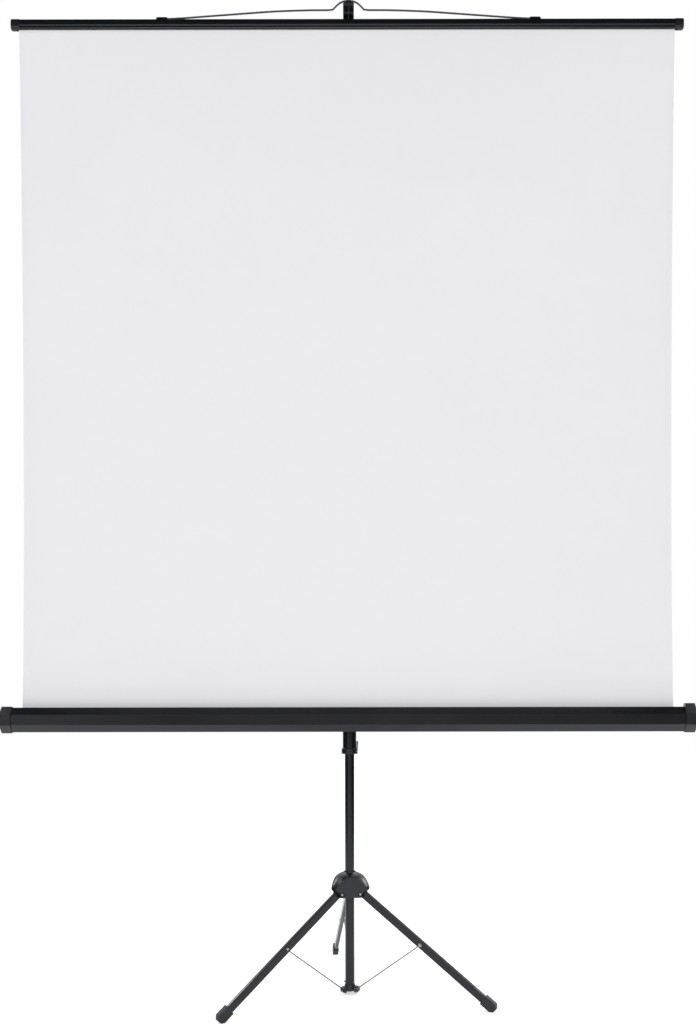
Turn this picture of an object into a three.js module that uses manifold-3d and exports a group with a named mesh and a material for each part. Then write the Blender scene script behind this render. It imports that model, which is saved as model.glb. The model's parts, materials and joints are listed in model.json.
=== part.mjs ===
import * as THREE from "three";
import { mergeVertices } from "three/addons/utils/BufferGeometryUtils.js";
import Module from "manifold-3d";

const wasm = await Module();
wasm.setup();

// General fits
const gap = 0.3; // between pieces that touch
const run = 0.8; // radial play of the hub on the mast, which takes up the fold's small error
const pinPlay = 1.1; // play of a pin in its eye, and of the eye under its head

// Tripod: legs turn on the hub, struts turn on the mast's end bracket
const mastR = 13.4;
const mastWall = 1.5;
const mastBottom = 13;
const screwZ = 32; // the screw that holds the end bracket
const mastTop = 1080;
const legYaw = 6.66; // the rear leg stands this far left of straight back, in degrees
const legDeep = 22;
const legWide = 12;
const legWall = 1.3;
const pivotR = 40;
const pivotZ = 286;
const lugR = 21;
const lugZ = 13;
const footR = 409; // where a foot touches the floor
const footRound = 14;
const footWide = 17;
const footGrip = 27;
const joinAt = 0.468; // the strut's rivet, as a share of the leg
const strutRod = 1.9;
const strutEyeR = 5.2;
const strutEyeThick = 3;
const rivetR = 2;
const rivetHeadR = 3.8;
const rivetHead = 1.5;
const hubPinR = 2.5;
const hubPinHead = 3.8;
const hubFlat = 38;
const hubR = 57.5;
const hubBottom = pivotZ - 10;
const hubTop = hubBottom + 70;
const hubNeck = mastR + 4.1; // the dome's rim round the mast

// Carrier tube: slides on the mast and carries the casing and the extension
const carrierR = 19;
const carrierWall = 1.5;
const collarBottom = 677;
const carrierBottom = collarBottom + 16.5;
const carrierTop = 1420;
const collarR = carrierR + 3.5;
const extR = 9;
const extWall = 1.2;
const extBottom = 1270;

// Screen
const sheetHalf = 901; // half the sheet's width
const screenShift = -3.3; // casing, sheet and bar hang a little to the left of the mast
const sheetShift = -1; // and the sheet a little to the left on its roller
const sheetThick = 0.6;
const casingHalf = 33.8; // across the flats
const casingWall = 1.2;
const casingY = -65;
const casingZ = collarBottom + 98;
const rollerR = 12.5;
const rollerWall = 1.2;
const rollerY = casingY - 3;
const rollerZ = casingZ - 2;
const rollerEnd = sheetHalf + 3;
const casingEnd = rollerEnd + 16.5;
const capLong = 30.6; // of a casing cap past the casing
const capOut = casingEnd + capLong;
const shaftR = 4;
const shaftIn = 430;
const springWire = 1.1;
const springTurns = 16;
const barZ = 2681.5;
const barHigh = 27;
const barDeep = 15.4;
const barWall = 1.6;
const barEnd = sheetHalf + 5;
const barCapGrip = 8;
const barCapLong = 16.3; // of a bar cap past the bar
const barCapOut = barEnd + barCapLong;
const hemR = 1.5;
const wireR = 2.3;
const bowHigh = 65.5;
const wireTop = barZ + bowHigh; // wire centre on the hook
const clipX = 512;
const kinkX = 44;
const kinkZ = wireTop - 26;

const tan8 = Math.tan(Math.PI / 8);
const rad = THREE.MathUtils.degToRad;
const sheetY = rollerY + rollerR + gap + sheetThick / 2;
const clipZ = barZ + barHigh / 2 + gap + wireR + 0.4;
const legFall = pivotZ - footRound;
const legAngle = Math.atan2(footR - pivotR, legFall);
const legLong = Math.hypot(footR - pivotR, legFall);
const joinR = pivotR + joinAt * (footR - pivotR);
const joinZ = pivotZ - joinAt * legFall;
const strutAngle = Math.atan2(joinR - lugR, joinZ - lugZ);
const strutLong = Math.hypot(joinR - lugR, joinZ - lugZ);
const strutEyeY = -(legWide / 2 + gap + 0.2 + strutEyeThick / 2);
const strutRodY = -(legWide / 2 + gap + 0.2 + strutRod);

function solidOf(geometry) {
  const plain = new THREE.BufferGeometry();
  const source = geometry.index ? geometry.toNonIndexed() : geometry;
  plain.setAttribute("position", source.getAttribute("position"));
  const merged = mergeVertices(plain, 1e-4);
  const vertProperties = merged.attributes.position.array;
  const triVerts = new Uint32Array(merged.index.array);
  const made = new wasm.Manifold(new wasm.Mesh({ numProp: 3, vertProperties, triVerts }));
  if (made.volume() >= 0) return made;
  for (let i = 0; i < triVerts.length; i += 3) {
    const keep = triVerts[i + 1];
    triVerts[i + 1] = triVerts[i + 2];
    triVerts[i + 2] = keep;
  }
  return new wasm.Manifold(new wasm.Mesh({ numProp: 3, vertProperties, triVerts }));
}

function geometryOf(made) {
  const mesh = made.getMesh();
  const geometry = new THREE.BufferGeometry();
  geometry.setAttribute("position", new THREE.BufferAttribute(mesh.vertProperties, 3));
  geometry.setIndex(new THREE.BufferAttribute(mesh.triVerts, 1));
  return geometry;
}

function box(x0, x1, y0, y1, z0, z1) {
  const g = new THREE.BoxGeometry(x1 - x0, y1 - y0, z1 - z0);
  return solidOf(g.translate((x0 + x1) / 2, (y0 + y1) / 2, (z0 + z1) / 2));
}

function turned(points, segments = 36) {
  const profile = points.map(([r, z]) => new THREE.Vector2(r, z));
  return solidOf(new THREE.LatheGeometry(profile, segments).rotateX(Math.PI / 2));
}

function ring(inner, outer, z0, z1, segments = 36) {
  return turned([[inner, z0], [outer, z0], [outer, z1], [inner, z1], [inner, z0]], segments);
}

function disc(r, z0, z1, segments = 24) {
  return turned([[0, z0], [r, z0], [r, z1], [0, z1]], segments);
}

function shapeOf(points) {
  return new THREE.Shape(points.map(([a, b]) => new THREE.Vector2(a, b)));
}

const alongX = new THREE.Matrix4().makeBasis(
  new THREE.Vector3(0, 1, 0), new THREE.Vector3(0, 0, 1), new THREE.Vector3(1, 0, 0));
const alongY = new THREE.Matrix4().makeBasis(
  new THREE.Vector3(0, 0, 1), new THREE.Vector3(1, 0, 0), new THREE.Vector3(0, 1, 0));

function drawn(points, from, to, matrix = alongX) {
  const g = new THREE.ExtrudeGeometry(shapeOf(points), { depth: to - from, bevelEnabled: false });
  return solidOf(g.translate(0, 0, from).applyMatrix4(matrix));
}

function toX(made) {
  return made.rotate([0, 90, 0]);
}

function toY(made) {
  return made.rotate([-90, 0, 0]);
}

// Rings of points, each [x, [[y, z], ...]], skinned into one closed body
function skinned(rings) {
  const n = rings[0][1].length;
  const v = [];
  const face = (a, b, c) => v.push(...a, ...b, ...c);
  const at = rings.map(([x, pts]) => pts.map(([y, z]) => [x, y, z]));
  for (let i = 0; i + 1 < at.length; i++) {
    for (let j = 0; j < n; j++) {
      const k = (j + 1) % n;
      face(at[i][j], at[i][k], at[i + 1][k]);
      face(at[i][j], at[i + 1][k], at[i + 1][j]);
    }
  }
  for (const [one, turn] of [[at[0], true], [at[at.length - 1], false]]) {
    for (let j = 1; j + 1 < n; j++) {
      if (turn) face(one[0], one[j + 1], one[j]);
      else face(one[0], one[j], one[j + 1]);
    }
  }
  const g = new THREE.BufferGeometry();
  g.setAttribute("position", new THREE.Float32BufferAttribute(v, 3));
  return solidOf(g);
}

function octagon(half, top = half, bottom = half) {
  const k = half * tan8;
  return [[half, -k], [half, k], [k, top], [-k, top], [-half, k], [-half, -k], [-k, -bottom], [k, -bottom]];
}

function roundRect(w, h, r, steps = 4) {
  const out = [];
  for (const [sx, sy, a0] of [[1, 1, 0], [-1, 1, 90], [-1, -1, 180], [1, -1, 270]]) {
    for (let i = 0; i <= steps; i++) {
      const a = rad(a0 + (90 * i) / steps);
      out.push([sx * (w / 2 - r) + r * Math.cos(a), sy * (h / 2 - r) + r * Math.sin(a)]);
    }
  }
  return out;
}

function moved(points, dy, dz) {
  return points.map(([y, z]) => [y + dy, z + dz]);
}

const part = new THREE.Group();
part.name = "tripod_projection_screen";
const whole = new THREE.Group();
part.add(whole);

const looks = {
  coat: { color: 0x2b2c2f, roughness: 0.42, metalness: 0.3 },
  plastic: { color: 0x1d1e20, roughness: 0.5, metalness: 0 },
  rubber: { color: 0x18181a, roughness: 0.85, metalness: 0 },
  zinc: { color: 0xb9bcc0, roughness: 0.35, metalness: 0.9 },
  alloy: { color: 0x9a9da2, roughness: 0.4, metalness: 0.9 },
  sheet: { color: 0xe9eaed, roughness: 0.9, metalness: 0 },
};

function add(name, made, look, parent = whole) {
  const mesh = new THREE.Mesh(geometryOf(made), new THREE.MeshStandardMaterial(looks[look]));
  mesh.name = name;
  parent.add(mesh);
  return mesh;
}

// Mast and its end bracket
const screwHole = toX(disc(1.9, -mastR - 1, -mastR + mastWall + 1, 14)).translate([0, 0, screwZ]);
add("mast_tube", ring(mastR - mastWall, mastR, mastBottom, mastTop, 32).subtract(screwHole), "coat");
const screwSeat = mastR + gap;
add("bracket_screw", toX(turned([
  [0, mastR - mastWall - 2], [1.6, mastR - mastWall - 2], [1.6, screwSeat], [2.8, screwSeat],
  [2.8, screwSeat + 1.6], [1.8, screwSeat + 2.6], [0, screwSeat + 2.6],
], 16)).mirror([1, 0, 0]).translate([0, 0, screwZ]), "coat");
const sides = [["left", 120], ["right", -120], ["rear", 0]];
const sideTurn = (offset) => 90 + legYaw + offset;
let bracket = turned([
  [0, 7], [mastR - 0.5, 7], [mastR + 1.8, 9], [mastR + 1.8, 25], [mastR + gap, 25],
  [mastR + gap, mastBottom - gap], [0, mastBottom - gap],
], 32);
for (const [, offset] of sides) {
  const lugPoints = [];
  for (let i = 0; i <= 10; i++) {
    const a = rad(-90 + 18 * i);
    lugPoints.push([lugZ + 8.5 * Math.sin(a), lugR + 8.5 * Math.cos(a)]);
  }
  lugPoints.push([lugZ + 8.5, mastR + 1], [lugZ - 8.5, mastR + 1]);
  const lug = drawn(lugPoints, -legWide / 2, legWide / 2, alongY)
    .subtract(toY(disc(rivetR + pinPlay, -12, 12, 16)).translate([lugR, 0, lugZ]));
  bracket = bracket.add(lug.rotate([0, 0, sideTurn(offset)]));
}
bracket = bracket.subtract(disc(mastR + gap, mastBottom - gap, 60, 32));
add("mast_end_bracket", bracket, "plastic");

// Hub: a dome with a slot for each leg and a flat between each two
let hub = turned([
  [mastR + run, hubBottom], [hubR - 12, hubBottom], [hubR - 11, hubBottom + 6], [hubR - 8, hubBottom + 13],
  [hubR - 4.2, hubBottom + 17.5], [hubR - 0.6, hubBottom + 21], [hubR, hubBottom + 23.5],
  [hubR - 0.8, hubTop - 42], [hubR - 4, hubTop - 34], [hubR - 8.6, hubTop - 26],
  [hubR - 13.8, hubTop - 18.2], [hubR - 20, hubTop - 11.5], [hubR - 29, hubTop - 6],
  [hubNeck + 2.2, hubTop - 2.6],
  [hubNeck, hubTop - 1.8], [hubNeck - 0.5, hubTop], [mastR + run, hubTop], [mastR + run, hubBottom],
], 48);
const shell = turned([
  [hubNeck, hubBottom - 1], [hubR - 9, hubBottom - 1], [hubR - 9, hubBottom + 8], [hubR - 6, hubTop - 50],
  [hubR - 8, hubTop - 38], [hubR - 14, hubTop - 26], [hubR - 22, hubTop - 18], [hubR - 30, hubTop - 12],
  [hubNeck, hubTop - 9], [hubNeck, hubBottom - 1],
], 24);
let pockets = null;
for (const [, offset] of sides) {
  const turn = sideTurn(offset);
  hub = hub.subtract(box(hubFlat, 80, -70, 70, hubBottom - 5, hubTop + 5).rotate([0, 0, turn + 60]));
  const between = box(hubNeck, hubFlat - 3.5, -13, 13, hubBottom - 6, hubTop - 6);
  const pocket = shell.intersect(between.rotate([0, 0, turn + 60]));
  pockets = pockets ? pockets.add(pocket) : pocket;
}
hub = hub.subtract(pockets);
for (const [, offset] of sides) {
  const turn = sideTurn(offset);
  const slotHalf = legWide / 2 + 0.4;
  const slot = box(pivotR - 18, 80, -slotHalf, slotHalf, hubBottom - 5, pivotZ + 17.5);
  const bore = toY(disc(hubPinR + gap, -30, 30, 20)).translate([pivotR, 0, pivotZ]);
  const seatR = hubPinHead + 0.4;
  const face = box(pivotR - seatR, pivotR + seatR, 18.2, 40, pivotZ - seatR, pivotZ + seatR);
  const back = box(pivotR - seatR, pivotR + seatR, -40, -18.2, pivotZ - seatR, pivotZ + seatR);
  hub = hub.subtract(slot.add(bore).add(face).add(back).rotate([0, 0, turn]));
}
add("leg_hub", hub, "plastic");

// Legs, feet, struts and their pins, each set in its own radial plane
for (const [side, offset] of sides) {
  const set = new THREE.Group();
  set.rotation.z = rad(sideTurn(offset));
  whole.add(set);

  const tubeEnd = legLong - 5;
  const outline = roundRect(legDeep, legWide, 2.2, 3);
  const inside = roundRect(legDeep - 2 * legWall, legWide - 2 * legWall, 1, 2);
  const bar = (pts, z0, z1) => {
    const g = new THREE.ExtrudeGeometry(shapeOf(pts), { depth: z1 - z0, bevelEnabled: false });
    return solidOf(g.translate(0, 0, z0));
  };
  const joinDown = -joinAt * legLong;
  const leg = bar(outline, -tubeEnd, 11)
    .subtract(bar(inside, -tubeEnd - 1, 12))
    .subtract(toY(disc(hubPinR + gap, -20, 20, 20)))
    .subtract(toY(disc(rivetR + gap, -20, 20, 16)).translate([0, 0, joinDown]));
  // the foot's end is a run of flats round one circle, one of them flat on the floor
  const flats = [-90, -38, 8, THREE.MathUtils.radToDeg(legAngle), 90];
  const footPoints = flats.slice(1).map((to, i) => {
    const middle = rad((to + flats[i]) / 2);
    const far = footRound / Math.cos(rad((to - flats[i]) / 2));
    return [-legLong - far * Math.cos(middle), -far * Math.sin(middle)];
  });
  footPoints.push([-legLong + footGrip - 0.8, -footRound], [-legLong + footGrip, -footRound + 0.8]);
  footPoints.push([-legLong + footGrip, footRound - 0.8], [-legLong + footGrip - 0.8, footRound]);
  const grip = roundRect(legDeep + 2 * gap, legWide + 2 * gap, 2.2, 3);
  const foot = drawn(footPoints, -footWide / 2, footWide / 2, alongY)
    .subtract(bar(grip, -tubeEnd - gap, 10 - legLong + footGrip));
  for (const mesh of [add("leg_" + side, leg, "coat", set), add("foot_" + side, foot, "rubber", set)]) {
    mesh.rotation.y = -legAngle;
    mesh.position.set(pivotR, 0, pivotZ);
  }

  const eye = toY(disc(strutEyeR, -strutEyeThick / 2, strutEyeThick / 2, 24)).translate([0, strutEyeY, 0]);
  const hole = toY(disc(rivetR + pinPlay, -20, 20, 16));
  const rod = disc(strutRod, 2.5, strutLong - 2.5, 14).translate([0, strutRodY, 0]);
  const strut = rod.add(eye).add(eye.translate([0, 0, strutLong]))
    .subtract(hole).subtract(hole.translate([0, 0, strutLong]))
    .subtract(box(-9, 9, strutEyeY - 9, strutEyeY - strutEyeThick / 2 - 0.6, -9, 5))
    .subtract(box(-9, 9, strutEyeY - 9, strutEyeY - strutEyeThick / 2 - 0.6, strutLong - 5, strutLong + 9));
  const strutMesh = add("strut_" + side, strut, "zinc", set);
  strutMesh.rotation.y = strutAngle;
  strutMesh.position.set(lugR, 0, lugZ);

  const strutOuter = strutEyeY - strutEyeThick / 2 - 0.6 - pinPlay;
  const rivet = () => toY(turned([
    [0, strutOuter - rivetHead], [rivetHeadR - 1, strutOuter - rivetHead], [rivetHeadR, strutOuter - 0.6],
    [rivetHeadR, strutOuter], [rivetR, strutOuter], [rivetR, legWide / 2 + gap],
    [rivetHeadR, legWide / 2 + gap],
    [rivetHeadR, legWide / 2 + gap + 0.6], [rivetHeadR - 1, legWide / 2 + gap + rivetHead],
    [0, legWide / 2 + gap + rivetHead],
  ], 12));
  add("strut_rivet_" + side, rivet(), "zinc", set).position.set(joinR, 0, joinZ);
  add("bracket_rivet_" + side, rivet(), "zinc", set).position.set(lugR, 0, lugZ);
  const pin = toY(turned([
    [0, -20.6], [hubPinHead - 1, -20.6], [hubPinHead, -19.6], [hubPinHead, -18.5], [hubPinR, -18.5],
    [hubPinR, 18.5], [hubPinHead, 18.5], [hubPinHead, 19.6], [hubPinHead - 1, 20.6], [0, 20.6],
  ], 14));
  add("leg_pin_" + side, pin, "zinc", set).position.set(pivotR, 0, pivotZ);
}

// Carrier tube with its collar, lock lever and guides
add("carrier_tube", ring(carrierR - carrierWall, carrierR, carrierBottom, carrierTop, 32), "coat");
const leverX = carrierR + 1;
const leverZ = collarBottom + 8;
const collarPlug = carrierR - carrierWall - gap;
const collar = turned([
  [mastR + gap, collarBottom], [collarR - 1.6, collarBottom], [collarR, collarBottom + 1.6],
  [collarR, carrierBottom - 2.2], [collarR - 1.4, carrierBottom - gap], [collarPlug, carrierBottom - gap],
  [collarPlug, carrierBottom + 32], [mastR + gap, carrierBottom + 32], [mastR + gap, collarBottom],
], 32)
  .subtract(box(15.2, 30, -7.4, 7.4, collarBottom - 1, carrierBottom))
  .subtract(toY(disc(1.5 + gap, -13, 13, 14)).translate([leverX, 0, leverZ]));
add("carrier_collar", collar, "plastic");
const leverOutline = [
  [leverZ - 6.5, leverX - 2], [leverZ - 7.5, leverX - 0.5], [leverZ - 7, leverX + 2.4],
  [leverZ + 3, leverX + 3], [leverZ + 16, leverX + 3.3], [leverZ + 25, leverX + 4.2],
  [leverZ + 28, leverX + 3.6], [leverZ + 28.5, leverX + 1.2], [leverZ + 26, leverX - 0.4],
  [leverZ + 7, leverX - 0.5], [leverZ + 4, leverX - 2.2],
];
const lever = drawn(leverOutline, -6.8, 6.8, alongY)
  .subtract(toY(disc(1.5 + gap, -13, 13, 14)).translate([leverX, 0, leverZ]));
add("lock_lever", lever, "plastic");
add("lever_pin", toY(disc(1.5, -9.4, 9.4, 14)).translate([leverX, 0, leverZ]), "zinc");
const extHole = extR + 0.5;
add("mast_guide", turned([
  [extHole, mastTop - 24], [mastR - mastWall - gap, mastTop - 24], [mastR - mastWall - gap, mastTop + gap],
  [carrierR - carrierWall - 0.5, mastTop + gap], [carrierR - carrierWall - 0.5, mastTop + 18],
  [extHole, mastTop + 18], [extHole, mastTop - 24],
], 32), "plastic");

const headTop = carrierTop + 26;
const knobZ = carrierTop + 14;
let clampHead = turned([
  [extHole, carrierTop - 30], [carrierR - carrierWall - gap, carrierTop - 30],
  [carrierR - carrierWall - gap, carrierTop + gap], [collarR, carrierTop + gap], [collarR, headTop - 6],
  [collarR - 5, headTop], [extHole, headTop], [extHole, carrierTop - 30],
], 32);
clampHead = clampHead.add(box(-8, 8, 12, 31, knobZ - 9, knobZ + 9))
  .subtract(disc(extHole, carrierTop - 31, headTop + 1, 32))
  .subtract(toY(disc(3 + gap, 0, 40, 18)).translate([0, 0, knobZ]));
add("clamp_head", clampHead, "plastic");
let knob = toY(disc(3, extR + gap, 34, 18));
const knobBody = [];
for (let i = 0; i < 48; i++) {
  const a = rad(7.5 * i);
  const r = 13 - 1.5 * (0.5 + 0.5 * Math.cos(8 * a));
  knobBody.push([r * Math.sin(a), r * Math.cos(a)]);
}
knob = knob.add(drawn(knobBody, 31.6, 44, alongY)).translate([0, 0, knobZ]);
add("clamp_knob", knob, "plastic");

// Extension with the hook that carries the wire bow
const extTop = wireTop - 6;
add("extension_tube", ring(extR - extWall, extR, extBottom, extTop, 28), "alloy");
const armFront = sheetY - 4;
const seat = wireTop - wireR - gap - 0.15;
const hookBottom = seat - 30;
const armProfile = [
  [12.5, hookBottom], [12.5, seat + 4], [-14, seat + 6], [sheetY + 8.5, seat + 22],
  [sheetY + 3.5, seat + 22.6],
  [sheetY + 2.4, seat + 20], [sheetY + 2.4, seat], [armFront, seat], [armFront, seat - 8], [-20, seat - 20],
  [-12.5, hookBottom],
];
let hook = drawn(armProfile, -15, 15)
  .subtract(disc(extR + gap, hookBottom - 1, extTop + gap, 28));
const sideCut = [[-70, seat + 0.6], [-15, seat + 0.6], [-15, seat + 40], [-70, seat + 40]];
hook = hook.subtract(drawn(sideCut, 7, 20)).subtract(drawn(sideCut, -20, -7));
const arch = [[-16, seat - 6], [-4, seat - 0.5], [-4, seat + 3], [-16, seat + 3]];
const archAlongY = (pts, y0, y1) => {
  const g = new THREE.ExtrudeGeometry(shapeOf(pts), { depth: y1 - y0, bevelEnabled: false });
  return solidOf(g.rotateX(Math.PI / 2).translate(0, y1, 0));
};
const archCut = archAlongY(arch, -70, sheetY + 14);
hook = hook.subtract(archCut).subtract(archCut.mirror([1, 0, 0]));
for (const [x0, x1] of [[-12.6, -1.2], [1.2, 12.6]]) {
  hook = hook.subtract(box(x0, x1, armFront + 2.4, -36.5, seat - 40, seat - 4.8));
  hook = hook.subtract(box(x0, x1, -34, -12.5, seat - 40, seat - 5.5));
}
add("hook_head", hook, "plastic");

// Casing bracket, pivot and casing
const casingBack = casingY + casingHalf;
const padFront = casingBack + 3.2;
let saddle = ring(carrierR + gap, 24, casingZ - 27, casingZ + 27, 32)
  .add(box(-21, 21, padFront, -14, casingZ - 24, casingZ + 24))
  .subtract(disc(carrierR + gap, casingZ - 40, casingZ + 40, 32))
  .subtract(toY(disc(4.4, padFront - 5, -19.2, 20)).translate([0, 0, casingZ]));
saddle = saddle.subtract(box(-2, 2, 10, 40, casingZ - 40, casingZ + 40));
add("casing_bracket", saddle, "plastic");
const plateBack = casingBack + gap;
const plate = drawn(moved(roundRect(48, 88, 6, 4), casingZ, 0), plateBack, plateBack + 2.5, alongY)
  .subtract(toY(disc(4.4, -60, 0, 20)).translate([0, 0, casingZ]));
add("pivot_plate", plate, "zinc");
const wallIn = casingBack - casingWall;
add("pivot_bolt", toY(turned([
  [0, wallIn - 5], [7, wallIn - 5], [8, wallIn - 4], [8, wallIn - gap], [4, wallIn - gap], [4, -19.8],
  [0, -19.8],
], 20)).translate([0, 0, casingZ]), "zinc");

const slot0 = sheetY - casingY - 2.6;
const slot1 = sheetY - casingY + 2.4;
const cOutline = (half, wall) => {
  const inner = half - wall;
  const k = half * tan8;
  const m = inner * tan8;
  return [
    [slot1, half], [slot1, inner], [m, inner], [inner, m], [inner, -m], [m, -inner], [-m, -inner],
    [-inner, -m],
    [-inner, m], [-m, inner], [slot0, inner], [slot0, half], [-k, half], [-half, k], [-half, -k],
    [-k, -half],
    [k, -half], [half, -k], [half, k], [k, half],
  ];
};
const screenSet = new THREE.Group();
screenSet.position.x = screenShift;
whole.add(screenSet);
const casing = drawn(moved(cOutline(casingHalf, casingWall), casingY, casingZ), -casingEnd, casingEnd)
  .subtract(toY(disc(4.4, wallIn - 5, casingBack + 5, 20)).translate([-screenShift, 0, casingZ]));
add("casing", casing, "coat", screenSet);

function endCap(sign, grow, rise) {
  const half = casingHalf + grow;
  const ring8 = (shrink) => octagon(half - shrink, half + rise - shrink, half - shrink);
  const at = (shrink) => moved(ring8(shrink), casingY, casingZ);
  const face = casingEnd + gap;
  let cap = skinned([
    [face - 3, at(0.6)], [face - 2.4, at(0)], [capOut - 3.2, at(0)], [capOut - 2, at(0.5)],
    [capOut - 1.6, at(1.6)],
  ]);
  const button = toX(turned([
    [0, face + 8], [20, face + 8], [20, capOut - 0.6], [19.4, capOut], [0, capOut],
  ], 32)).translate([0, rollerY, rollerZ]);
  cap = cap.subtract(drawn(moved(octagon(casingHalf + gap), casingY, casingZ), face - 10, face));
  const plug = casingHalf - casingWall - gap;
  let spigot = drawn(moved(octagon(plug), casingY, casingZ), face - 14, face + 1)
    .subtract(drawn(moved(octagon(plug - 2), casingY, casingZ), face - 20, face + 0.5));
  spigot = spigot.subtract(box(face - 20, face - 0.01, sheetY - 2.6, sheetY + 2.4, casingZ, casingZ + 60));
  const boss = toX(disc(9, face - 10.5, face + 1, 24)).translate([0, rollerY, rollerZ]);
  const socket = toX(disc(4.4, face - 20, face + 6, 20)).translate([0, rollerY, rollerZ]);
  cap = cap.add(spigot).add(boss).add(button).subtract(socket);
  return sign > 0 ? cap : cap.mirror([1, 0, 0]);
}
add("casing_cap_left", endCap(-1, 2.8, 0), "plastic", screenSet);
add("casing_cap_right", endCap(1, 2.8, 7), "plastic", screenSet);

// Spring roller
const atRoller = (made) => toX(made).translate([0, rollerY, rollerZ]);
const rollerTube = ring(rollerR - rollerWall, rollerR, -rollerEnd, rollerEnd, 28);
add("roller_tube", atRoller(rollerTube), "alloy", screenSet);
const plugR = rollerR - rollerWall - gap;
add("roller_plug_left", atRoller(turned([
  [0, -casingEnd - 5], [shaftR, -casingEnd - 5], [shaftR, -rollerEnd - 4], [rollerR, -rollerEnd - 4],
  [rollerR, -rollerEnd - gap], [plugR, -rollerEnd - gap], [plugR, -rollerEnd + 26], [0, -rollerEnd + 26],
], 24)), "plastic", screenSet);
add("roller_plug_right", atRoller(turned([
  [shaftR + gap, rollerEnd + 4], [rollerR, rollerEnd + 4], [rollerR, rollerEnd + gap],
  [plugR, rollerEnd + gap],
  [plugR, rollerEnd - 26], [shaftR + gap, rollerEnd - 26], [shaftR + gap, rollerEnd + 4],
], 24)), "plastic", screenSet);
add("spring_shaft", atRoller(turned([
  [0, shaftIn], [8, shaftIn], [8, shaftIn + 14], [shaftR, shaftIn + 14], [shaftR, casingEnd + 5],
  [0, casingEnd + 5],
], 20)), "zinc", screenSet);
class Coil extends THREE.Curve {
  getPoint(t, target = new THREE.Vector3()) {
    const a = t * springTurns * 2 * Math.PI;
    const x = springFrom + (springTo - springFrom) * t;
    return target.set(x, rollerY + springR * Math.cos(a), rollerZ + springR * Math.sin(a));
  }
}
const springFrom = shaftIn + 14 + gap + springWire;
const springTo = rollerEnd - 30;
const springR = (shaftR + gap + springWire) / Math.cos(Math.PI / 8);
const round = (r, n) => Array.from({ length: n }, (_, i) => {
  const a = (2 * Math.PI * i) / n;
  return [r * Math.cos(a), r * Math.sin(a)];
});
add("roller_spring", solidOf(new THREE.ExtrudeGeometry(shapeOf(round(springWire, 4)), {
  steps: springTurns * 8, extrudePath: new Coil(), bevelEnabled: false,
})), "zinc", screenSet);

// The sheet: wrapped round the roller, drawn up through the slot and round the rod in the bar
const hemY = sheetY - hemR - gap - sheetThick / 2;
const hemZ = barZ + 4.4;
const centre = [];
const wrap = rollerR + gap + sheetThick / 2;
for (let i = 0; i <= 20; i++) {
  const a = rad(-270 + (270 * i) / 20);
  centre.push([rollerY + wrap * Math.cos(a), rollerZ + wrap * Math.sin(a), Math.cos(a), Math.sin(a)]);
}
const hemWrap = hemR + gap + sheetThick / 2;
for (let i = 0; i <= 12; i++) {
  const a = rad((230 * i) / 12);
  centre.push([hemY + hemWrap * Math.cos(a), hemZ + hemWrap * Math.sin(a), Math.cos(a), Math.sin(a)]);
}
const sheetOut = centre.map(([y, z, ny, nz]) => [y + (ny * sheetThick) / 2, z + (nz * sheetThick) / 2]);
const sheetIn = centre.map(([y, z, ny, nz]) => [y - (ny * sheetThick) / 2, z - (nz * sheetThick) / 2]);
const sheetLoop = [...sheetOut, ...sheetIn.reverse()];
add("screen_sheet", drawn(sheetLoop, sheetShift - sheetHalf, sheetShift + sheetHalf), "sheet", screenSet);
add("hem_rod", toX(disc(hemR, -barEnd + 4, barEnd - 4, 16)).translate([0, hemY, hemZ]), "zinc", screenSet);

// Top bar: an open section with a ledge along each face
const barOutline = [];
const w = barDeep / 2;
const h = barHigh / 2;
const corner = (cy, cz, r, a0) => Array.from({ length: 5 }, (_, i) => {
  const a = rad(a0 + (90 * i) / 4);
  return [cy + r * Math.cos(a), cz + r * Math.sin(a)];
});
const lip = 1.5;
const ledge = 2; // the lower part of each face stands back by this much
const ledgeZ = -4.5;
const low = w - ledge;
barOutline.push(
  [lip, -h], ...corner(low - 4, -h + 4, 4, -90), [low, ledgeZ - 1.2], [w, ledgeZ + 1.2],
  ...corner(w - 6, h - 6, 6, 0), ...corner(-w + 6, h - 6, 6, 90), [-w, ledgeZ + 1.2], [-low, ledgeZ - 1.2],
  ...corner(-low + 4, -h + 4, 4, 180),
  [-lip, -h], [-lip, -h + barWall]);
const v = low - barWall;
const deep = w - barWall;
const u = h - barWall;
barOutline.push(
  ...corner(-v + 2.4, -u + 2.4, 2.4, 180).reverse(), [-v, ledgeZ - 0.6], [-deep, ledgeZ + 1.7],
  ...corner(-deep + 4, u - 4, 4, 90).reverse(), ...corner(deep - 4, u - 4, 4, 0).reverse(),
  [deep, ledgeZ + 1.7], [v, ledgeZ - 0.6], ...corner(v - 2.4, -u + 2.4, 2.4, -90).reverse(),
  [lip, -h + barWall]);
add("top_bar", drawn(moved(barOutline, sheetY, barZ), -barEnd, barEnd), "coat", screenSet);

function barCap(sign) {
  const at = (dy, r) => moved(roundRect(barDeep + dy - 0.8, barHigh + dy - 0.4, r, 4), sheetY, barZ);
  const face = barEnd + gap;
  let cap = skinned([
    [face - barCapGrip, at(2.4, 7.8)], [face - barCapGrip + 0.8, at(2.8, 8)], [barCapOut - 3.4, at(2.8, 8)],
    [barCapOut - 1, at(1, 7.6)], [barCapOut, at(-2, 6.4)],
  ]);
  const inside = moved(roundRect(barDeep + 2 * gap, barHigh + 2 * gap, 6 + gap, 4), sheetY, barZ);
  cap = cap.subtract(drawn(inside, face - barCapGrip - 1, face))
    .subtract(box(face - barCapGrip - 1, face, sheetY - 2.2, sheetY + 2.2, barZ - barHigh, barZ));
  return sign > 0 ? cap : cap.mirror([1, 0, 0]);
}
add("bar_cap_left", barCap(-1), "plastic", screenSet);
add("bar_cap_right", barCap(1), "plastic", screenSet);

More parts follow.
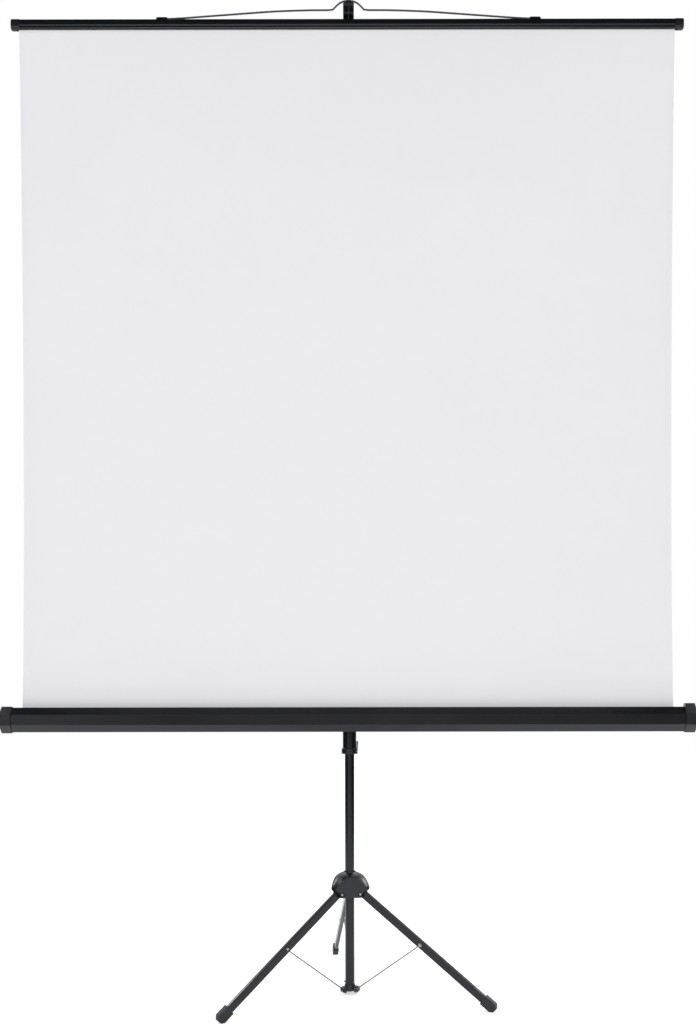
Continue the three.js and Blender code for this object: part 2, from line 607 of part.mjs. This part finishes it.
// Wire bow and the two clips it turns in
const half = [
  [clipX + 12, clipZ], [clipX, clipZ], [clipX - 18, clipZ + 0.3], [clipX - 60, clipZ + 2.4],
  [390, clipZ + 6.8],
  [300, clipZ + 13.6], [200, clipZ + 20.2], [110, kinkZ + 0.2], [60, kinkZ + 0.5], [kinkX, kinkZ + 1.2],
  [37, kinkZ + 7.6], [29, kinkZ + 16.2], [18, kinkZ + 22.9], [9, wireTop - 0.35],
];
const bowPoints = [...half.map(([x, z]) => [-x, z]), [0, wireTop], ...half.reverse()];
const bowPath = new THREE.CatmullRomCurve3(bowPoints.map(([x, z]) => new THREE.Vector3(x, sheetY, z)), false,
  "centripetal");
add("wire_bow", solidOf(new THREE.ExtrudeGeometry(shapeOf(round(wireR, 8)), {
  steps: 84, extrudePath: bowPath, bevelEnabled: false,
})), "coat");
for (const [side, sign] of [["left", -1], ["right", 1]]) {
  const base = barZ + barHigh / 2 + gap;
  const top = clipZ + wireR + 2;
  const foot = wireR + 2.6;
  const arch = (ease) => moved([
    [-foot, base], [foot, base], [foot - 0.3 - ease, clipZ + 0.6 - ease],
    [foot - 2 - ease, top - 0.9 - ease],
    [foot - 3.4 - ease / 2, top - ease], [3.4 - foot + ease / 2, top - ease],
    [2 + ease - foot, top - 0.9 - ease],
    [0.3 + ease - foot, clipZ + 0.6 - ease],
  ], sheetY, 0);
  const clip = skinned([
    [sign * clipX - 15, arch(0.8)], [sign * clipX - 12.5, arch(0)], [sign * clipX + 12.5, arch(0)],
    [sign * clipX + 15, arch(0.8)],
  ]).subtract(toX(disc(wireR + 0.75, -40, 40, 16)).translate([sign * clipX, sheetY, clipZ]));
  add("bow_clip_" + side, clip, "plastic");
}

// The frame's origin is on the floor, under the middle of the part
const reach = new THREE.Box3().setFromObject(whole, true);
whole.position.set(-(reach.min.x + reach.max.x) / 2, -(reach.min.y + reach.max.y) / 2, -reach.min.z);

export default part;
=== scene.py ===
import json
import math
import bmesh
import bpy
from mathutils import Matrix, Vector


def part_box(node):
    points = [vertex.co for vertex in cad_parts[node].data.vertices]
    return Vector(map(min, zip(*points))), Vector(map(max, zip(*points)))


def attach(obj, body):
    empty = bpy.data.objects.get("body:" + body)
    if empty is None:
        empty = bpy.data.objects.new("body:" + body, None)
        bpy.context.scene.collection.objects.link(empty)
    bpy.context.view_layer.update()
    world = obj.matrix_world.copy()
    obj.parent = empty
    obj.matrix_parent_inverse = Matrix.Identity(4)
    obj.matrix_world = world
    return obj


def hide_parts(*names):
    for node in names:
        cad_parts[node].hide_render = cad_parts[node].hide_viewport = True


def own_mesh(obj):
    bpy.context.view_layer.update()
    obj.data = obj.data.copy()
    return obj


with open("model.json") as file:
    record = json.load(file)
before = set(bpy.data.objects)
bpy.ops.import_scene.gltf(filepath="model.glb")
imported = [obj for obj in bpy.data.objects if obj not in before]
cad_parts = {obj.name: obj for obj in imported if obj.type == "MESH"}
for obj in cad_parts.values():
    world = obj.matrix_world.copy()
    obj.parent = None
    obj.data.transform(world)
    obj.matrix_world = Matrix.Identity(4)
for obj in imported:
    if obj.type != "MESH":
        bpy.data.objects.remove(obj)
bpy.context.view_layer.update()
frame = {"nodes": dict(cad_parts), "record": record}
nodes = frame["nodes"]
scene = bpy.context.scene
mm = 0.001
pureWhite = (1, 1, 1, 1)

# Colours are written as sRGB hex values and used as linear ones
srgbCurve = {"knee": 0.04045, "slope": 12.92, "offset": 0.055, "power": 2.4}


def linear(hexColour):
    curve = srgbCurve
    parts = [int(hexColour[i:i + 2], 16) / 255 for i in (1, 3, 5)]
    return [p / curve["slope"] if p <= curve["knee"]
            else ((p + curve["offset"]) / (1 + curve["offset"])) ** curve["power"] for p in parts] + [1.0]


# A shader node with its settings and links; a key such as "#6" is an input's number, others are names
def socketKey(key):
    return int(key[1:]) if key.startswith("#") else key


def addNode(tree, kind, settings=None, links=None):
    node = tree.nodes.new(kind)
    for key, value in (settings or {}).items():
        if hasattr(node, key):
            setattr(node, key, value)
        else:
            node.inputs[socketKey(key)].default_value = value
    for key, source in (links or {}).items():
        tree.links.new(source, node.inputs[socketKey(key)])
    return node


def linkSockets(tree, shader, sources):
    for key, source in sources.items():
        tree.links.new(source, shader.inputs[key])


# Camera: tipped down by half a degree and turned a little on its axis, with the frame shifted up
mastAxis = (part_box("mast_tube")[0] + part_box("mast_tube")[1]) / 2
cameraSet = {"back": 2.558, "height": 0.799, "focalPixels": 905.3, "middleRow": 719.4, "axisColumn": 349.5,
             "tipDown": 0.55, "turned": 0.085, "sensorHigh": 36, "clipEnd": 60, "wide": 696, "high": 1024}
cameraData = bpy.data.cameras.new("photoCamera")
cameraData.sensor_fit = "VERTICAL"
cameraData.sensor_height = cameraSet["sensorHigh"]
cameraData.lens = cameraSet["focalPixels"] * cameraSet["sensorHigh"] / cameraSet["high"]
cameraData.shift_y = (cameraSet["middleRow"] - cameraSet["high"] / 2) / cameraSet["high"]
cameraData.shift_x = (cameraSet["wide"] / 2 - cameraSet["axisColumn"]) / cameraSet["high"]
cameraData.clip_end = cameraSet["clipEnd"]
camera = bpy.data.objects.new("photoCamera", cameraData)
camera.location = (mastAxis.x, mastAxis.y - cameraSet["back"], cameraSet["height"])
camera.rotation_euler = (math.pi / 2 - math.radians(cameraSet["tipDown"]), math.radians(cameraSet["turned"]), 0)
scene.collection.objects.link(camera)
scene.camera = camera
print("camera placed")

# Materials: sizes in the looks are in mm on the object's own coordinates
noiseDetail = {"grain": 2.0, "cloud": 3.0, "line": 3.0, "spangle": 4.0}


def freshMaterial(name):
    made = bpy.data.materials.new(name)
    made.use_nodes = True
    tree = made.node_tree
    tree.nodes.clear()
    out = addNode(tree, "ShaderNodeOutputMaterial")
    shader = addNode(tree, "ShaderNodeBsdfPrincipled")
    tree.links.new(shader.outputs[0], out.inputs[0])
    where = addNode(tree, "ShaderNodeTexCoord").outputs["Object"]
    return made, tree, shader, where


def noise(tree, where, size, detail):
    return addNode(tree, "ShaderNodeTexNoise", {"Scale": 1 / (size * mm), "Detail": noiseDetail[detail]},
                   {"Vector": where})


def tones(tree, look, share):
    return addNode(tree, "ShaderNodeMix", {
        "data_type": "RGBA", "#6": linear(look["low"]), "#7": linear(look["high"])}, {"#0": share})


def spread(tree, ends, share):
    return addNode(tree, "ShaderNodeMapRange", {"To Min": ends[0], "To Max": ends[1]}, {"Value": share})


def relief(tree, look, height):
    return addNode(tree, "ShaderNodeBump", {"Strength": look["bump"], "Distance": look["depth"] * mm},
                   {"Height": height})


def coated(name, look):
    made, tree, shader, where = freshMaterial(name)
    grain = noise(tree, where, look["grain"], "grain")
    cloud = noise(tree, where, look["cloud"], "cloud")
    worn = addNode(tree, "ShaderNodeAttribute", {"attribute_name": "edgeWear"})
    tone = tones(tree, look, cloud.outputs[0])
    patchy = addNode(tree, "ShaderNodeMath", {"operation": "MULTIPLY"},
                     {"#0": worn.outputs["Fac"], "#1": cloud.outputs[0]})
    rubbed = addNode(tree, "ShaderNodeMath", {"operation": "MULTIPLY", "#1": look["rub"]},
                     {"#0": patchy.outputs[0]})
    colour = addNode(tree, "ShaderNodeMix", {"data_type": "RGBA", "#7": linear(look["edge"])},
                     {"#0": rubbed.outputs[0], "#6": tone.outputs[2]})
    gloss = spread(tree, look["rough"], cloud.outputs[0])
    bump = relief(tree, look, grain.outputs[0])
    shader.inputs["IOR"].default_value = look["ior"]
    shader.inputs["Specular Tint"].default_value = linear(look["sheen"])
    linkSockets(tree, shader, {
        "Base Color": colour.outputs[2], "Roughness": gloss.outputs[0], "Normal": bump.outputs[0]})
    return made


# Powder coat on steel: even black with a faint orange peel, drawn at 3 mm so that it shows, paler where edges rub
powderCoat = coated("powder_coated_steel", {
    "grain": 3.0, "cloud": 140, "low": "#0D0E11", "high": "#141518", "edge": "#2E3034", "rub": 0.5,
    "rough": (0.17, 0.25), "bump": 0.1, "depth": 0.2, "ior": 1.42, "sheen": "#F3F5FF"})
# Moulded nylon: deep black, a fine spark-eroded grain drawn at 1.2 mm, with a soft shine
mouldedNylon = coated("moulded_nylon", {
    "grain": 1.2, "cloud": 60, "low": "#0D0D10", "high": "#141517", "edge": "#303135", "rub": 0.7,
    "rough": (0.27, 0.37), "bump": 0.16, "depth": 0.15, "ior": 1.48, "sheen": "#F3F5FF"})
# Vulcanised rubber: soft black, a little dusty, with a dull shine
footRubber = coated("foot_rubber", {
    "grain": 1.6, "cloud": 25, "low": "#0E0E0E", "high": "#171716", "edge": "#2E2D2A", "rub": 0.8,
    "rough": (0.5, 0.66), "bump": 0.3, "depth": 0.3, "ior": 1.52, "sheen": "#F4F6FF"})
# Black-finished spring wire: thin dark film on drawn steel
bowWire = coated("blackened_spring_wire", {
    "grain": 1.0, "cloud": 30, "low": "#0C0C0D", "high": "#151516", "edge": "#3A3B3C", "rub": 0.4,
    "rough": (0.34, 0.5), "bump": 0.1, "depth": 0.1, "ior": 1.6, "sheen": "#F3F5FF"})


def drawnMetal(name, look):
    made, tree, shader, where = freshMaterial(name)
    along = addNode(tree, "ShaderNodeMapping", {"Scale": look["stretch"]}, {"Vector": where})
    lines = noise(tree, along.outputs[0], look["line"], "line")
    cloud = noise(tree, where, look["cloud"], "spangle")
    tone = tones(tree, look, cloud.outputs[0])
    gloss = spread(tree, look["rough"], lines.outputs[0])
    bump = relief(tree, look, lines.outputs[0])
    shader.inputs["Metallic"].default_value = 1.0
    linkSockets(tree, shader, {
        "Base Color": tone.outputs[2], "Roughness": gloss.outputs[0], "Normal": bump.outputs[0]})
    return made


# Zinc-plated steel: bright grey with a soft spangle of about 12 mm
zincPlate = drawnMetal("zinc_plated_steel", {
    "stretch": (1, 1, 0.15), "line": 1.5, "cloud": 12, "low": "#8F8F8D", "high": "#B9B9B6",
    "rough": (0.26, 0.42), "bump": 0.15, "depth": 0.1})
# Strut rod: drawn steel under a thinner, greyer plating, with die lines along its length
strutSteel = drawnMetal("plated_strut_rod", {
    "stretch": (1, 1, 0.1), "line": 1.2, "cloud": 25, "low": "#777775", "high": "#9C9C98",
    "rough": (0.3, 0.46), "bump": 0.15, "depth": 0.1})
# Drawn aluminium tube: even grey with die lines along its length
drawnAlloy = drawnMetal("drawn_aluminium", {
    "stretch": (1, 1, 0.02), "line": 0.8, "cloud": 40, "low": "#A8AAAD", "high": "#BFC1C4",
    "rough": (0.28, 0.44), "bump": 0.15, "depth": 0.1})

# One turn of Blender's wave texture at scale 1
waveTurn = 2 * math.pi / 20


def wovenSheet(name, look):
    made, tree, shader, where = freshMaterial(name)
    threads = []
    for axis in ("X", "Z"):
        threads.append(addNode(tree, "ShaderNodeTexWave", {
            "wave_type": "BANDS", "bands_direction": axis, "wave_profile": "SIN",
            "Scale": waveTurn / (look["thread"] * mm)}, {"Vector": where}))
    cross = addNode(tree, "ShaderNodeMath", {"operation": "MULTIPLY"},
                    {"#0": threads[0].outputs["Fac"], "#1": threads[1].outputs["Fac"]})
    cloud = noise(tree, where, look["cloud"], "cloud")
    tone = tones(tree, look, cloud.outputs[0])
    bump = relief(tree, look, cross.outputs[0])
    shader.inputs["Roughness"].default_value = look["rough"]
    shader.inputs["Specular IOR Level"].default_value = look["shine"]
    linkSockets(tree, shader, {"Base Color": tone.outputs[2], "Normal": bump.outputs[0]})
    return made


# Matte white vinyl on woven glass: a fine thread, drawn at 2.4 mm so that it shows, and a very faint clouding
matteSheet = wovenSheet("matte_white_vinyl", {
    "thread": 2.4, "cloud": 380, "low": "#E3E3E7", "high": "#E7E7EB", "rough": 0.9, "shine": 0.2,
    "bump": 0.12, "depth": 0.15})
finish = {"coat": powderCoat, "plastic": mouldedNylon, "rubber": footRubber, "zinc": zincPlate,
          "alloy": drawnAlloy, "sheet": matteSheet}
ownFinish = {"wire_bow": bowWire, "strut_left": strutSteel, "strut_right": strutSteel, "strut_rear": strutSteel}
slotOf = {s["node"]: s["material_slot"] for s in frame["record"]["subparts"]}
for name, obj in nodes.items():
    obj.data.materials.clear()
    obj.data.materials.append(ownFinish.get(name, finish[slotOf[name]]))
print("materials on", len(nodes), "nodes")

# Casing ends and the cap rims on them: both slope outward behind, as the photograph shows no rim past the front
casingLow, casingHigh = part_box("casing")
rimSet = {"on": ("casing", "casing_cap_left", "casing_cap_right"), "slope": 0.22,
          "before": 3.5 * mm, "past": 1 * mm}


def slopeRim(shape):
    for v in shape.verts:
        if -rimSet["before"] < abs(v.co.x) - casingHigh.x < rimSet["past"]:
            v.co.x += math.copysign(rimSet["slope"] * (v.co.y - casingLow.y), v.co.x)


# Rounded edges: a merged copy of a rigid node, its sharp edges broken as a press, a mould or a die leaves them
bodyOf = {n: b for b, members in frame["record"]["behaviour"]["bodies"].items() for n in members}
edgeSet = {
    "coat": {"edge": 0.6, "steps": 2}, "plastic": {"edge": 0.7, "steps": 2}, "rubber": {"edge": 1.4, "steps": 3},
    "zinc": {"edge": 0.25, "steps": 1}, "alloy": {"edge": 0.25, "steps": 1}}
# Lengths in mm and angles in degrees
mergeSet = {"join": 0.02, "flat": 0.6, "sharp": 28, "crease": 50, "collapse": 0.01}


def steeper(edge, angle):
    return len(edge.link_faces) == 2 and edge.calc_face_angle(0) > math.radians(angle)


def roundedCopy(name):
    slot = slotOf[name]
    shape = bmesh.new()
    shape.from_mesh(nodes[name].data)
    bmesh.ops.remove_doubles(shape, verts=shape.verts, dist=mergeSet["join"] * mm)
    if name in rimSet["on"]:
        slopeRim(shape)
    bmesh.ops.dissolve_limit(shape, angle_limit=math.radians(mergeSet["flat"]), verts=shape.verts,
                             edges=shape.edges)
    worn = shape.faces.layers.float.new("edgeWear")
    sharp = [e for e in shape.edges if steeper(e, mergeSet["sharp"])]
    made = bmesh.ops.bevel(shape, geom=sharp, offset=edgeSet[slot]["edge"] * mm, offset_type="OFFSET",
                           affect="EDGES", segments=edgeSet[slot]["steps"], profile=0.5, material=-1,
                           clamp_overlap=True)
    for face in made["faces"]:
        face[worn] = 1.0
    # where a small edge leaves no room for the whole bevel, its corners fall together
    bmesh.ops.dissolve_degenerate(shape, dist=mergeSet["collapse"] * mm, edges=shape.edges)
    for face in shape.faces:
        face.smooth = True
    for edge in shape.edges:
        edge.smooth = not steeper(edge, mergeSet["crease"])
    mesh = bpy.data.meshes.new(name + "_rounded")
    shape.to_mesh(mesh)
    shape.free()
    piece = bpy.data.objects.new(name + "_rounded", mesh)
    scene.collection.objects.link(piece)
    mesh.materials.append(ownFinish.get(name, finish[slot]))
    weigh = piece.modifiers.new("flatFaces", "WEIGHTED_NORMAL")
    weigh.keep_sharp = True
    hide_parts(name)
    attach(piece, bodyOf[name])


# Nodes inside others and the bow's clips, which stay as they are, and the sheet, which is drawn below
asPacked = {"screen_sheet", "roller_tube", "roller_plug_left", "roller_plug_right", "spring_shaft",
            "roller_spring", "mast_guide", "hem_rod", "bow_clip_left", "bow_clip_right"}
for name in sorted(set(nodes) - asPacked):
    roundedCopy(name)
print("edges rounded on", len(nodes) - len(asPacked), "nodes")

# The sheet: one cloth drawn up from the roller to the rod in the bar, its free edges curling forward a little and
# drawn in most a little below the middle
rollLow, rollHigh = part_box("roller_tube")
rodLow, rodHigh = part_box("hem_rod")
sheetLow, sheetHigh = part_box("screen_sheet")
sheetSet = {
    "half": (sheetHigh.x - sheetLow.x) / 2, "shift": (sheetLow.x + sheetHigh.x) / 2, "thick": 0.6 * mm,
    "clear": 0.3 * mm, "columns": 120, "rows": 90, "crowd": 1.6, "curl": -2.0 * mm, "curlWide": 14 * mm,
    "ripple": 0.8 * mm, "rippleAcross": (9, 0.7), "rippleUp": (2.2, 0.4), "waist": 9 * mm,
    "waistShape": (0.7, 0.9), "waistPeak": 0.334, "draw": 1.1}
rollMid = (rollLow + rollHigh) / 2
rodMid = (rodLow + rodHigh) / 2
sheetY = rollHigh.y + sheetSet["clear"] + sheetSet["thick"] / 2
sheetBottom, sheetTop = rollMid.z, rodMid.z
# Its two ends, hidden: most of a turn on the roller, and the hem turned over the rod, in degrees
endSet = {"sheet_wrap": {"middle": rollMid, "turn": -270, "body": "carrier"},
          "sheet_hem": {"middle": rodMid, "turn": 230, "body": "bar"}}
endGrid = {"columns": 24, "rows": 40}


def clothPiece(name, cloth):
    for face in cloth.faces:
        face.smooth = True
    bmesh.ops.recalc_face_normals(cloth, faces=cloth.faces)
    mesh = bpy.data.meshes.new(name)
    cloth.to_mesh(mesh)
    cloth.free()
    piece = bpy.data.objects.new(name, mesh)
    scene.collection.objects.link(piece)
    mesh.materials.append(matteSheet)
    skin = piece.modifiers.new("clothThickness", "SOLIDIFY")
    skin.thickness = sheetSet["thick"]
    skin.offset = 0
    return piece


def turnedEnd(name, end):
    cloth = bmesh.new()
    bmesh.ops.create_grid(cloth, x_segments=endGrid["columns"], y_segments=endGrid["rows"], size=1.0)
    radius = sheetY - end["middle"].y
    for v in cloth.verts:
        angle = math.radians(end["turn"] * (v.co.y + 1) / 2)
        v.co = Vector((sheetSet["shift"] + v.co.x * sheetSet["half"],
                       end["middle"].y + radius * math.cos(angle), end["middle"].z + radius * math.sin(angle)))
    piece = clothPiece(name, cloth)
    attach(piece, end["body"])
    return piece


def drawnSheet():
    cloth = bmesh.new()
    bmesh.ops.create_grid(cloth, x_segments=sheetSet["columns"], y_segments=sheetSet["rows"], size=1.0)
    (acrossTurns, acrossStart), (upTurns, upStart) = sheetSet["rippleAcross"], sheetSet["rippleUp"]
    lowShape, highShape = sheetSet["waistShape"]
    for v in cloth.verts:
        u, w = v.co.x, (v.co.y + 1) / 2
        # more columns near the free edges, where the cloth curls
        across = math.copysign(1 - (1 - abs(u)) ** sheetSet["crowd"], u)
        free = math.sin(math.pi * w) ** 0.5 if 0 < w < 1 else 0.0
        edge = max(0.0, 1 - (1 - abs(across)) * sheetSet["half"] / sheetSet["curlWide"])
        wave = (sheetSet["ripple"] * free * math.sin(across * acrossTurns + acrossStart)
                * math.sin(w * upTurns + upStart))
        drawnIn = sheetSet["waist"] * w ** lowShape * (1 - w) ** highShape / sheetSet["waistPeak"]
        v.co = Vector((sheetSet["shift"] + across * (sheetSet["half"] - drawnIn),
                       sheetY + sheetSet["curl"] * edge ** 2 * free + wave,
                       sheetBottom + w * (sheetTop - sheetBottom)))
    return clothPiece("drawn_sheet", cloth)


sheet = drawnSheet()
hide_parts("screen_sheet")
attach(sheet, "carrier")
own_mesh(sheet)
[turnedEnd(name, end) for name, end in endSet.items()]
print("sheet drawn up", round(sheetTop - sheetBottom, 3), "m")

# Stage: a pale floor that the camera sees as white but for the object's shadow, and flags that only mirror-like
# rays see, so that the black coats reflect a pale front and floor and a dark room round them
stageSet = {"half": 14, "floor": "#F2F2F2", "rough": 0.9, "shine": 0.1, "lift": (0.36, 0.8),
            "liftFrom": (1.0, 6.5), "world": 0.5}
# Each flag's colour and two opposite corners
flagSet = {"left_flag": ("#202020", (-2.6, -3.5, 0.02), (-2.6, 3.5, 2.0)),
           "right_flag": ("#202020", (2.6, -3.5, 0.02), (2.6, 3.5, 2.0)),
           "top_flag": ("#060606", (-4.0, -5.5, 5.0), (4.0, 0.8, 5.0)),
           "front_flag": ("#C4C4C4", (-2.2, -5.6, 0.02), (4.0, -5.6, 3.0))}


def stagePiece(name, shape, cover):
    mesh = bpy.data.meshes.new(name)
    shape.to_mesh(mesh)
    shape.free()
    mesh.materials.append(cover)
    piece = bpy.data.objects.new(name, mesh)
    scene.collection.objects.link(piece)
    return piece


def seenRays(tree):
    path = addNode(tree, "ShaderNodeLightPath")
    most = addNode(tree, "ShaderNodeMath", {"operation": "MAXIMUM"},
                   {"#0": path.outputs["Is Camera Ray"], "#1": path.outputs["Is Glossy Ray"]})
    return addNode(tree, "ShaderNodeMath", {"operation": "MAXIMUM"},
                   {"#0": most.outputs[0], "#1": path.outputs["Is Transmission Ray"]}).outputs[0]


def studioFloor():
    paper, tree, shader, where = freshMaterial("studio_paper")
    shader.inputs["Base Color"].default_value = linear(stageSet["floor"])
    shader.inputs["Roughness"].default_value = stageSet["rough"]
    shader.inputs["Specular IOR Level"].default_value = stageSet["shine"]
    shader.inputs["Emission Color"].default_value = pureWhite
    away = addNode(tree, "ShaderNodeVectorMath", {"operation": "LENGTH"}, {"#0": where})
    rise = addNode(tree, "ShaderNodeMapRange", {
        "From Min": stageSet["liftFrom"][0], "From Max": stageSet["liftFrom"][1],
        "To Min": stageSet["lift"][0], "To Max": stageSet["lift"][1]}, {"Value": away.outputs["Value"]})
    lift = addNode(tree, "ShaderNodeMath", {"operation": "MULTIPLY"},
                   {"#0": seenRays(tree), "#1": rise.outputs[0]})
    linkSockets(tree, shader, {"Emission Strength": lift.outputs[0]})
    shape = bmesh.new()
    bmesh.ops.create_grid(shape, x_segments=2, y_segments=2, size=stageSet["half"])
    stagePiece("studio_floor", shape, paper)


def studioFlag(name, colour, low, high):
    cover, _, shader, _ = freshMaterial(name + "_cloth")
    shader.inputs["Base Color"].default_value = linear(colour)
    shader.inputs["Roughness"].default_value = 1.0
    shader.inputs["Specular IOR Level"].default_value = 0.0
    shape = bmesh.new()
    bmesh.ops.create_grid(shape, x_segments=1, y_segments=1, size=0.5)
    for v in shape.verts:
        u, w = v.co.x + 0.5, v.co.y + 0.5
        # a flag across the room grows in depth with its height, one along the room with its width
        deep = w if low[0] != high[0] else u
        v.co = Vector((low[0] + u * (high[0] - low[0]), low[1] + deep * (high[1] - low[1]),
                       low[2] + w * (high[2] - low[2])))
    flag = stagePiece(name, shape, cover)
    flag.visible_camera = flag.visible_diffuse = flag.visible_shadow = False


studioFloor()
for name, (colour, low, high) in flagSet.items():
    studioFlag(name, colour, low, high)

world = bpy.data.worlds.new("studio")
scene.world = world
world.use_nodes = True
worldTree = world.node_tree
worldTree.nodes.clear()
lit = addNode(worldTree, "ShaderNodeBackground", {"Color": pureWhite, "Strength": stageSet["world"]})
seen = addNode(worldTree, "ShaderNodeBackground", {"Color": pureWhite, "Strength": 1.0})
mixed = addNode(worldTree, "ShaderNodeMixShader", None,
                {"#0": seenRays(worldTree), "#1": lit.outputs[0], "#2": seen.outputs[0]})
addNode(worldTree, "ShaderNodeOutputWorld", None, {"Surface": mixed.outputs[0]})

# Softboxes: places, targets and sizes in metres, powers in watts
lampSet = {
    "front_softbox": {"place": (-0.1, -4.4, 2.3), "target": (0, 0, 1.5), "size": (3.0, 1.5), "power": 78},
    "left_softbox": {"place": (-2.9, -0.3, 3.0), "target": (0, 0, 0.4), "size": (0.6, 0.9), "power": 42},
    "right_softbox": {"place": (2.9, -0.3, 3.0), "target": (0, 0, 0.4), "size": (0.6, 0.9), "power": 42},
    "back_softbox": {"place": (0, 3.4, 3.8), "target": (0, 2.6, 0), "size": (3.0, 1.2), "power": 40},
    "left_rim": {"place": (-2.3, 1.3, 1.5), "target": (0, 0, 0.4), "size": (0.5, 0.9), "power": 14},
    "right_rim": {"place": (2.3, 1.5, 1.4), "target": (0, 0, 0.4), "size": (0.5, 0.9), "power": 22}}


def softbox(name, lamp):
    data = bpy.data.lights.new(name, "AREA")
    data.shape = "RECTANGLE"
    data.size, data.size_y = lamp["size"]
    data.energy = lamp["power"]
    place = Vector(lamp["place"])
    made = bpy.data.objects.new(name, data)
    made.location = place
    made.rotation_euler = (Vector(lamp["target"]) - place).to_track_quat("-Z", "Y").to_euler()
    scene.collection.objects.link(made)


for name, lamp in lampSet.items():
    softbox(name, lamp)
print("stage and lights set")

scene.view_settings.view_transform = "Standard"
